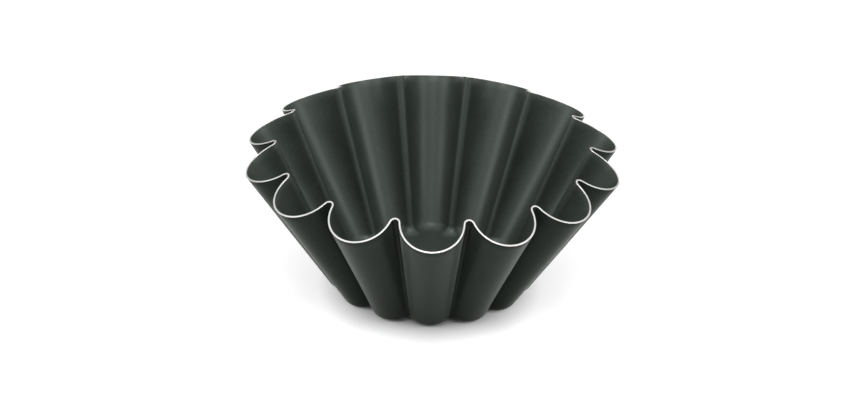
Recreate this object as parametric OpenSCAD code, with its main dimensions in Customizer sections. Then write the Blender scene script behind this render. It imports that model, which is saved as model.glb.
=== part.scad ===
// Fluted baking mould, pressed in one stroke from a flat disc of thin sheet steel.
// Non-stick coat inside and out; the cut edge of the steel is left bare at the rim.
// The mould stands on Z = 0 and flares upwards. A flute's crest faces the front, along -Y.

/* [Rim] */
// Diameter across two opposite flute crests, at the middle of the sheet
rim_d = 180; // [150:1:240]
// Number of flutes round the wall
flutes = 14; // [10:2:18]
// How far the valleys stand in from the crests at the rim
rim_depth = 15; // [9:0.5:18]
// Bend radius of a valley at the rim
rim_valley_r = 2.3; // [1.6:0.1:3.6]

/* [Base] */
// Diameter across two opposite crests at the base, before its corner is rounded
base_d = 95; // [84:1:120]
// How far the valleys stand in from the crests at the base
base_depth = 4.7; // [3:0.1:6]
// Bend radius of a valley at the base
base_valley_r = 1.9; // [1.4:0.1:3]
// Bend radius where the wall turns into the flat base, at the middle of the sheet
corner_r = 6.5; // [3:0.5:9]

/* [Height] */
// Height of the rim at a crest, above the surface that the mould stands on
crest_h = 64.5; // [45:0.5:90]
// How much higher the rim stands at a valley, because the flat blank stretches less there
valley_lift = 8; // [0:0.5:10]

/* [Sheet] */
// Thickness of the steel
steel_t = 0.9; // [0.5:0.1:1.2]
// Thickness of each non-stick coat
coat_t = 0.05; // [0.04:0.01:0.1]

/* [Hidden] */

// Steps round one crest's arc, round one valley's arc and up the base corner
crest_steps = 10;
valley_steps = 4;
corner_steps = 4;

flute_steps = crest_steps + valley_steps;
round_steps = flutes * flute_steps;
flute_angle = 360 / flutes;
half_flute = flute_angle / 2;
front_angle = -90;
floor_z = steel_t / 2 + coat_t;

// Rings of points from the edge of the flat base, up the corner, to the rim
rings = corner_steps + 2;
rim_ring = rings - 1;

function unit(v) = v / norm(v);
function polar(r, a) = [r * cos(a), r * sin(a)];
function turned(p, a) = [p.x * cos(a) - p.y * sin(a), p.x * sin(a) + p.y * cos(a)];

// Centre of a crest's arc, so that it runs tangent into the arcs of both valleys beside it
function crest_centre(crest, hub) =
    (crest * crest - hub * hub) / (2 * (crest - hub * cos(half_flute)));

// Point of a fluted outline and its outward direction, k steps along the flute at +X.
// The outline is an arc over the crest and a small arc of the opposite hand in the valley.
function flute_point(k, crest, depth, bend) =
    let (
        hub = crest - depth + bend,
        c = crest_centre(crest + bend, hub),
        valley = polar(hub, half_flute),
        reach = atan2(valley.y, valley.x - c),
        share = (k - crest_steps) / valley_steps,
        on_crest = k <= crest_steps,
        a = on_crest
            ? reach * (2 * k / crest_steps - 1)
            : reach + 180 + share * (flute_angle - 2 * reach),
        way = polar(1, a)
    )
    on_crest ? [[c, 0] + (crest - c) * way, way] : [valley + bend * way, -way];

// The same, u steps round the whole outline, with a crest at the front
function outline_point(u, crest, depth, bend) =
    let (
        flute = floor(u / flute_steps),
        p = flute_point(u - flute * flute_steps, crest, depth, bend),
        a = front_angle + flute * flute_angle
    )
    [turned(p[0], a), turned(p[1], a)];

// Middle of the sheet at the rim. The rim lies on a cone, lowest at the crests.
function rim_point(u) =
    let (
        p = outline_point(u, rim_d / 2, rim_depth, rim_valley_r)[0],
        lift = valley_lift * (rim_d / 2 - norm(p)) / rim_depth
    )
    [p.x, p.y, crest_h + lift];

// Middle of the sheet at step u round the mould and ring j up it, with the way up the sheet.
// A straight line joins the base outline to the rim, and an arc rounds its lower corner.
function sheet_point(u, j) =
    let (
        foot = outline_point(u, base_d / 2, base_depth, base_valley_r),
        corner = [foot[0].x, foot[0].y, floor_z],
        rim = rim_point(u),
        level = [foot[1].x, foot[1].y, 0],
        wall = unit(rim - corner),
        turn = acos(wall * level),
        rise = unit(wall - (wall * level) * level),
        a = turn * min(j, corner_steps) / corner_steps,
        start = corner - corner_r * tan(turn / 2) * level
    )
    j == rim_ring
        ? [rim, wall]
        : [start + corner_r * (sin(a) * level + (1 - cos(a)) * rise), cos(a) * level + sin(a) * rise];

// Outward direction of the sheet, square to the way round it and the way up it
function sheet_normal(u, j) =
    let (near = 0.01)
    unit(cross(sheet_point(u + near, j)[0] - sheet_point(u - near, j)[0], sheet_point(u, j)[1]));

// Grid of points on the surface that lies a given distance outside the middle of the sheet
function surface_points(outside) = [
    for (j = [0 : rings - 1])
        for (u = [0 : round_steps - 1])
            sheet_point(u, j)[0] + outside * sheet_normal(u, j)
];

// Both triangles of each cell of that grid, whose points start at a given index
function surface_faces(first) = [
    for (j = [0 : rings - 2])
        for (u = [0 : round_steps - 1])
            let (
                next = (u + 1) % round_steps,
                a = first + j * round_steps + u,
                b = first + j * round_steps + next,
                c = b + round_steps,
                d = a + round_steps
            )
            each [[a, c, b], [a, d, c]]
];

function flipped(faces) = [for (f = faces) [f[0], f[2], f[1]]];

// One layer of the sheet, between two distances from its middle, with an edge square to the wall
module layer(inside, outside) {
    grid = rings * round_steps;
    rim_first = rim_ring * round_steps;
    points = concat(
        surface_points(outside),
        surface_points(inside),
        [[0, 0, floor_z - outside], [0, 0, floor_z - inside]]
    );
    base_outside = [
        for (u = [0 : round_steps - 1]) [2 * grid, u, (u + 1) % round_steps]
    ];
    base_inside = [
        for (u = [0 : round_steps - 1]) [2 * grid + 1, grid + (u + 1) % round_steps, grid + u]
    ];
    rim_edge = [
        for (u = [0 : round_steps - 1])
            let (
                a = rim_first + u,
                b = rim_first + (u + 1) % round_steps
            )
            each [[a, grid + b, b], [a, grid + a, grid + b]]
    ];
    polyhedron(
        points,
        concat(surface_faces(0), flipped(surface_faces(grid)), base_outside, base_inside, rim_edge),
        convexity = 10
    );
}

// The pressed blank: flat scalloped base, rounded corner and flared fluted wall
module steel_shell() {
    color("silver") layer(-steel_t / 2, steel_t / 2);
}

// Dark non-stick coat on the baking side, up to the cut edge
module inner_coating() {
    color("darkslategray") layer(-steel_t / 2 - coat_t, -steel_t / 2);
}

// Dark coat on the outside and under the base
module outer_coating() {
    color("dimgray") layer(steel_t / 2, steel_t / 2 + coat_t);
}

steel_shell();
inner_coating();
outer_coating();
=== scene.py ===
from math import acos, atan2, cos, pi, radians, sin

import bmesh
import bpy
import numpy as np
from mathutils import Matrix, Vector


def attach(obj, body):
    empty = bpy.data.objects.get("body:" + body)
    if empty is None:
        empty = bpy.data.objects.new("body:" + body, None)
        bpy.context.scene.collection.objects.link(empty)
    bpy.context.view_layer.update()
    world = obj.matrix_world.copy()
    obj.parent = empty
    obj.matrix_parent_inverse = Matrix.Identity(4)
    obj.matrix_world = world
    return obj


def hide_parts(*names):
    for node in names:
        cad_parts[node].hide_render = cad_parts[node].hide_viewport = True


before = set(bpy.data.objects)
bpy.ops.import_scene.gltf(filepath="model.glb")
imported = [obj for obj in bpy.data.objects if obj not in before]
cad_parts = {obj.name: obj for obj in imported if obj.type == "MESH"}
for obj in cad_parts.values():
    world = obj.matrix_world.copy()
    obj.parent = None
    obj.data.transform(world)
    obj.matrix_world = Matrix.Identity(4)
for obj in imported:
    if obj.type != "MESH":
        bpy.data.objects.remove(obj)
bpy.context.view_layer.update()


# Sheet steel blank
# One disc of 0.9 mm sheet steel, pressed in a single stroke over a fluted punch.
# Its sheared edge is never coated, so it runs round the rim as a bright line.

MM = 0.001

flutes = 14
rim_radius = 90 * MM
rim_depth = 15 * MM
rim_valley_bend = 2.3 * MM
base_radius = 47.5 * MM
base_depth = 4.7 * MM
base_valley_bend = 1.9 * MM
corner_bend = 6.5 * MM
crest_height = 64.5 * MM
valley_lift = 8 * MM
steel_thickness = 0.9 * MM
film_thickness = 0.05 * MM
edge_rounding = 0.25 * MM

crest_steps = 32
valley_steps = 16
floor_rings = 6
corner_rings = 14
wall_rings = 18
rounding_steps = 4

half_flute = pi / flutes
flute_steps = crest_steps + valley_steps
floor_middle = steel_thickness / 2 + film_thickness


def fluted_outline(steps, crest, depth, bend):
    """Points of a fluted outline and its outward directions, both as N by 2 arrays."""
    hub = crest - depth + bend
    reach_out = crest + bend
    centre = (reach_out**2 - hub**2) / (2 * (reach_out - hub * cos(half_flute)))
    valley = hub * np.array([cos(half_flute), sin(half_flute)])
    reach = atan2(valley[1], valley[0] - centre)
    flute = np.floor(steps / flute_steps + 1e-9)
    k = steps - flute * flute_steps
    on_crest = (k <= crest_steps)[:, None]
    crest_angle = reach * (2 * k / crest_steps - 1)
    share = (k - crest_steps) / valley_steps
    valley_angle = reach + pi + share * 2 * (half_flute - reach)
    angle = np.where(on_crest[:, 0], crest_angle, valley_angle)
    way = np.stack([np.cos(angle), np.sin(angle)], axis=1)
    point = np.where(on_crest, np.array([centre, 0]) + (crest - centre) * way, valley + bend * way)
    outward = np.where(on_crest, way, -way)
    turn = flute * 2 * half_flute - pi / 2
    c, s = np.cos(turn), np.sin(turn)
    spin = np.stack([np.stack([c, -s], 1), np.stack([s, c], 1)], 1)
    return np.einsum("nij,nj->ni", spin, point), np.einsum("nij,nj->ni", spin, outward)


def unit(vectors):
    return vectors / np.linalg.norm(vectors, axis=-1, keepdims=True)


def with_height(flat, height):
    return np.concatenate([flat, np.broadcast_to(height, (len(flat), 1))], axis=1)


def sheet_middle(steps, arc, rise):
    """Middle of the sheet and the way up it: arc 0 to 1 up the corner, rise 0 to 1 up the wall."""
    rim, _ = fluted_outline(steps, rim_radius, rim_depth, rim_valley_bend)
    stands_in = rim_radius - np.linalg.norm(rim, axis=1, keepdims=True)
    rim = with_height(rim, crest_height + valley_lift * stands_in / rim_depth)
    foot, outward = fluted_outline(steps, base_radius, base_depth, base_valley_bend)
    corner = with_height(foot, floor_middle)
    level = with_height(outward, 0)
    wall = unit(rim - corner)
    along = (wall * level).sum(1, keepdims=True)
    turn = np.arccos(along)
    lift = unit(wall - along * level)
    a = turn * arc
    start = corner - corner_bend * np.tan(turn / 2) * level
    bent = start + corner_bend * (np.sin(a) * level + (1 - np.cos(a)) * lift)
    return bent + (rim - bent) * rise, np.cos(a) * level + np.sin(a) * lift


around = np.arange(flutes * flute_steps, dtype=float)
nudge = 0.01


def ring(arc, rise, outside, drop=0.0):
    """One ring of points, outside the middle of the sheet and dropped back down the wall."""
    middle, way_up = sheet_middle(around, arc, rise)
    after, _ = sheet_middle(around + nudge, arc, rise)
    before, _ = sheet_middle(around - nudge, arc, rise)
    normal = unit(np.cross(after - before, way_up))
    return middle + outside * normal - drop * way_up


def face_rings(outside, last_drop):
    """Rings of one face of the sheet, from the middle of the base up to the rim."""
    edge = ring(0, 0, outside)
    rings = [edge * np.array([k / floor_rings, k / floor_rings, 1]) for k in range(1, floor_rings)]
    rings += [ring(k / corner_rings, 0, outside) for k in range(corner_rings)]
    rings += [ring(1, k / wall_rings, outside) for k in range(wall_rings)]
    return rings + [ring(1, 1, outside, last_drop)]


def pressed_layer(name, inner, outer, edge_profile):
    """A closed layer of the sheet. The edge profile lists (outside, drop) round its rim."""
    rings = face_rings(outer, edge_profile[0][1])
    rings += [ring(1, 1, outside, drop) for outside, drop in edge_profile[1:-1]]
    rings += face_rings(inner, edge_profile[-1][1])[::-1]
    count = len(around)
    points = np.concatenate(rings)
    ends = np.array([[0, 0, rings[0][0][2]], [0, 0, rings[-1][0][2]]])
    build = bmesh.new()
    verts = [build.verts.new(p) for p in np.concatenate([points, ends])]
    for j in range(len(rings) - 1):
        for u in range(count):
            v = (u + 1) % count
            a, b = j * count + u, j * count + v
            build.faces.new((verts[a], verts[b], verts[b + count], verts[a + count]))
    last = (len(rings) - 1) * count
    for u in range(count):
        v = (u + 1) % count
        build.faces.new((verts[-2], verts[v], verts[u]))
        build.faces.new((verts[-1], verts[last + u], verts[last + v]))
    for face in build.faces:
        face.smooth = True
    bmesh.ops.recalc_face_normals(build, faces=build.faces)
    mesh = bpy.data.meshes.new(name)
    build.to_mesh(mesh)
    build.free()
    piece = bpy.data.objects.new(name, mesh)
    bpy.context.scene.collection.objects.link(piece)
    return piece


def rounded_edge(half, rounding):
    """Edge profile of a sheet with both corners of its cut edge rounded over."""
    turns = [k * pi / 2 / rounding_steps for k in range(rounding_steps + 1)]
    outer = [(half - rounding * (1 - cos(a)), rounding * (1 - sin(a))) for a in turns]
    return outer + [(-outside, drop) for outside, drop in reversed(outer)]


class Wire:
    """An output socket in a finish. Sums, differences and products of wires add Math nodes."""

    def __init__(self, tree, socket=None):
        self.tree = tree
        self.socket = socket

    def node(self, kind, settings=None, inputs=None, output=0):
        """Adds any node: its settings first, then its sockets, from plain values or wires."""
        made = self.tree.nodes.new(kind)
        for key, value in (settings or {}).items():
            if key == "stops":
                for stop, (place, colour) in zip(made.color_ramp.elements, value):
                    stop.position = place
                    stop.color = (*colour, 1)
            else:
                setattr(made, key, value)
        for key, value in (inputs or {}).items():
            if isinstance(value, Wire):
                self.tree.links.new(value.socket, made.inputs[key])
            else:
                made.inputs[key].default_value = value
        return Wire(self.tree, made.outputs[output] if made.outputs else None)

    def maths(self, operation, first, second):
        return self.node("ShaderNodeMath", {"operation": operation}, {0: first, 1: second})

    def __add__(self, other):
        return self.maths("ADD", self, other)

    def __sub__(self, other):
        return self.maths("SUBTRACT", self, other)

    def __rsub__(self, other):
        return self.maths("SUBTRACT", other, self)

    def __mul__(self, other):
        return self.maths("MULTIPLY", self, other)

    __radd__ = __add__
    __rmul__ = __mul__

    def grain(self, size, detail=2.0, stretch=(1, 1, 1)):
        """Noise from 0 to 1 with grains of a real size, in the object's own coordinates."""
        place = self.node("ShaderNodeTexCoord", output="Object")
        place = self.node("ShaderNodeVectorMath", {"operation": "MULTIPLY"}, {0: place, 1: stretch})
        inputs = {"Vector": place, "Scale": 1 / size, "Detail": detail}
        return self.node("ShaderNodeTexNoise", None, inputs, "Fac")

    def blend(self, low, high):
        """A colour between two others, by this wire's value from 0 to 1."""
        inputs = {"Factor": self, 6: (*low, 1), 7: (*high, 1)}
        return self.node("ShaderNodeMix", {"data_type": "RGBA"}, inputs, 2)

    def finish(self, **sockets):
        """Ends the material in one Principled surface with these sockets."""
        named = {key.replace("_", " ").title(): value for key, value in sockets.items()}
        named = {"IOR" if key == "Ior" else key: value for key, value in named.items()}
        surface = self.node("ShaderNodeBsdfPrincipled", None, named)
        self.node("ShaderNodeOutputMaterial", None, {"Surface": surface})


def new_finish(name):
    material = bpy.data.materials.new(name)
    material.use_nodes = True
    material.node_tree.nodes.clear()
    return material, Wire(material.node_tree)


sheared_steel, wire = new_finish("sheared_steel")
shear = wire.grain(0.35 * MM, 4)
wire.finish(
    base_color=shear.blend((0.52, 0.52, 0.50), (0.74, 0.74, 0.72)),
    metallic=1.0,
    roughness=0.28 + 0.14 * shear,
    normal=wire.node("ShaderNodeBump", None, {"Height": shear, "Strength": 0.25, "Distance": 0.05 * MM}),
)

steel = pressed_layer(
    "pressed_steel", -steel_thickness / 2, steel_thickness / 2,
    rounded_edge(steel_thickness / 2, edge_rounding),
)
steel.data.materials.append(sheared_steel)
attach(steel, "root")
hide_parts("steel_shell")


# Baking side coat
# A dark non-stick film, sprayed on the inside and baked. It is satin and finely mottled,
# and stops at the cut edge, where its own edge thins out.

film_setback = 0.18 * MM


def nonstick(name, deep, pale, gloss, ior, bloom):
    material, wire = new_finish(name)
    mottle = wire.grain(1.3 * MM, 3)
    cloud = wire.grain(14 * MM, 2)
    tone = 0.65 * mottle + 0.35 * cloud
    orange_peel = wire.node(
        "ShaderNodeBump", None, {"Height": mottle, "Strength": 0.35, "Distance": 0.03 * MM}
    )
    wire.finish(
        base_color=tone.blend(deep, pale),
        roughness=gloss - 0.10 + 0.2 * tone,
        ior=ior,
        specular_tint=(0.90, 1.0, 0.91, 1),
        sheen_weight=bloom,
        sheen_roughness=0.3,
        sheen_tint=(0.90, 1.0, 0.92, 1),
        normal=orange_peel,
    )
    return material


def film_edge(inner, outer):
    """Edge profile of a film that thins out just short of the cut edge."""
    thinned = inner + (outer - inner) * 0.4
    return [(outer, film_setback * 1.6), (thinned, film_setback * 1.15), (inner, film_setback * 1.1)]


baking_film = nonstick(
    "baking_side_nonstick", (0.009, 0.013, 0.010), (0.038, 0.046, 0.040), gloss=0.42, ior=1.5, bloom=0.0
)
inside_steel_face = -steel_thickness / 2
baking_face = inside_steel_face - film_thickness
inside_coat = pressed_layer(
    "inside_nonstick", inside_steel_face, baking_face, film_edge(inside_steel_face, baking_face)
)
inside_coat.data.materials.append(baking_film)
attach(inside_coat, "root")
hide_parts("inner_coating")


# Outside coat
# The same kind of film, sprayed on the outer face and under the base and baked with the
# first. The mould stands on it. It is duller, with a faint bloom where it is seen at a slant.

outer_film = nonstick(
    "outside_nonstick", (0.005, 0.0075, 0.0055), (0.023, 0.029, 0.024), gloss=0.38, ior=1.13, bloom=0.25
)
outside_steel_face = steel_thickness / 2
outside_face = outside_steel_face + film_thickness
outside_coat = pressed_layer(
    "outside_nonstick", outside_steel_face, outside_face, film_edge(outside_steel_face, outside_face)
)
outside_coat.data.materials.append(outer_film)
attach(outside_coat, "root")
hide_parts("outer_coating")


# Camera
# A long lens that looks down on the mould's front flute, rolled a little to one side.

view_down = radians(28.674)
view_roll = radians(-1.359)
view_turn = radians(0.218)
view_distance = 1700.5 * MM
view_right = 1.39 * MM
view_up = -34.96 * MM
lens_px = 3504
photo_width_px = 854
sensor = 36

forward = Vector((0, cos(view_down), -sin(view_down)))
level_up = Vector((0, sin(view_down), cos(view_down)))
right = Vector((cos(view_roll), 0, 0)) - level_up * sin(view_roll)
up = Vector((sin(view_roll), 0, 0)) + level_up * cos(view_roll)
place = -view_right * right - view_up * up - view_distance * forward
pose = Matrix((right, up, -forward)).transposed().to_4x4()
pose.translation = place

lens = bpy.data.cameras.new("studio_camera")
lens.sensor_width = sensor
lens.lens = lens_px * sensor / photo_width_px
lens.clip_end = 20
camera = bpy.data.objects.new("studio_camera", lens)
camera.matrix_world = Matrix.Rotation(-view_turn, 4, "Z") @ pose
bpy.context.scene.collection.objects.link(camera)
bpy.context.scene.camera = camera


# Studio
# A plain white floor that keeps the mould's soft shadow, deepened by painted shade round its foot, a
# white surround and soft lamps.

floor_half = 3.0
floor_grey = 0.8
lift_most = 0.5
# Painted shade: an oval patch round the mould's foot, set a little forward of it, where the floor's white
# glow is held back.
shade_centre = (0, -8 * MM, 0)
shade_inner = 37 * MM
shade_outer = 61 * MM

floor_mesh = bpy.data.meshes.new("floor")
corners = [(-floor_half, -floor_half, 0), (floor_half, -floor_half, 0)]
corners += [(floor_half, floor_half, 0), (-floor_half, floor_half, 0)]
floor_mesh.from_pydata(corners, [], [(0, 1, 2, 3)])
floor = bpy.data.objects.new("floor", floor_mesh)
bpy.context.scene.collection.objects.link(floor)


def background_rays(wire):
    """1 for the rays that show the background: from the camera, off gloss and through glass."""
    rays = wire.node("ShaderNodeLightPath", output="Is Camera Ray")
    rays = rays + wire.node("ShaderNodeLightPath", output="Is Glossy Ray")
    return rays + wire.node("ShaderNodeLightPath", output="Is Transmission Ray")


floor_white, wire = new_finish("floor_white")
# The glow is left out inside the patch and fades in across its edge. This paints shade on the floor over
# the real shadow, both where the floor is seen directly and where the mould reflects it.
spot = wire.node("ShaderNodeTexCoord", output="Object")
spot = wire.node("ShaderNodeVectorMath", {"operation": "MULTIPLY"}, {0: spot, 1: (1.13, 1, 1)})
reach = wire.node("ShaderNodeVectorMath", {"operation": "DISTANCE"}, {0: spot, 1: shade_centre}, "Value")
outside_painted_shade = wire.node(
    "ShaderNodeMapRange", None, {"Value": reach, "From Min": shade_inner, "From Max": shade_outer}
)
far_floor = wire.node(
    "ShaderNodeMapRange", {"interpolation_type": "SMOOTHSTEP"},
    {"Value": reach, "From Min": 70 * MM, "From Max": 260 * MM, "To Min": 1, "To Max": 0.1},
)
matt = wire.node("ShaderNodeBsdfDiffuse", None, {"Color": (floor_grey, floor_grey, floor_grey, 1)})
lift = wire.node(
    "ShaderNodeEmission", None,
    {"Color": (1, 1, 1, 1), "Strength": lift_most * outside_painted_shade * far_floor * background_rays(wire)},
)
both = wire.node("ShaderNodeAddShader", None, {0: matt, 1: lift})
wire.node("ShaderNodeOutputMaterial", None, {"Surface": both})
floor.data.materials.append(floor_white)

# The white surround stands low round the floor. Above it the room is dim up to the light tent.
room = 0.12
tent = 1.25
surround_top = (sin(radians(8)), sin(radians(22)))
tent_edge = (sin(radians(20)), sin(radians(36)))

world = bpy.data.worlds.new("white_surround")
world.use_nodes = True
world.node_tree.nodes.clear()
bpy.context.scene.world = world
wire = Wire(world.node_tree)
way = wire.node("ShaderNodeTexCoord", output="Generated")
height = wire.node("ShaderNodeSeparateXYZ", None, {0: way}, "Z")
low = wire.node(
    "ShaderNodeMapRange", {"interpolation_type": "SMOOTHSTEP"},
    {"Value": height, "From Min": surround_top[0], "From Max": surround_top[1], "To Min": 1, "To Max": 0},
)
high = wire.node(
    "ShaderNodeMapRange", {"interpolation_type": "SMOOTHSTEP"},
    {"Value": height, "From Min": tent_edge[0], "From Max": tent_edge[1]},
)
strength = room + (1 - room) * low * background_rays(wire) + (tent - room) * high
shine = wire.node("ShaderNodeBackground", None, {"Color": (1, 1, 1, 1), "Strength": strength})
wire.node("ShaderNodeOutputWorld", None, {"Surface": shine})


def soft_lamp(name, place, size, power):
    lamp = bpy.data.lights.new(name, "AREA")
    lamp.shape = "RECTANGLE"
    lamp.size, lamp.size_y = size
    lamp.energy = power
    holder = bpy.data.objects.new(name, lamp)
    holder.location = place
    holder.rotation_euler = (Vector((0, 0, 0.04)) - Vector(place)).to_track_quat("-Z", "Y").to_euler()
    bpy.context.scene.collection.objects.link(holder)


soft_lamp("left_softbox", (-1.15, -0.6, 0.85), (0.7, 0.6), 5)
soft_lamp("right_softbox", (1.15, -0.6, 0.85), (0.7, 0.6), 5)
soft_lamp("top_softbox", (0, -0.55, 1.2), (0.5, 0.5), 5)

scene = bpy.context.scene
scene.view_settings.view_transform = "Standard"
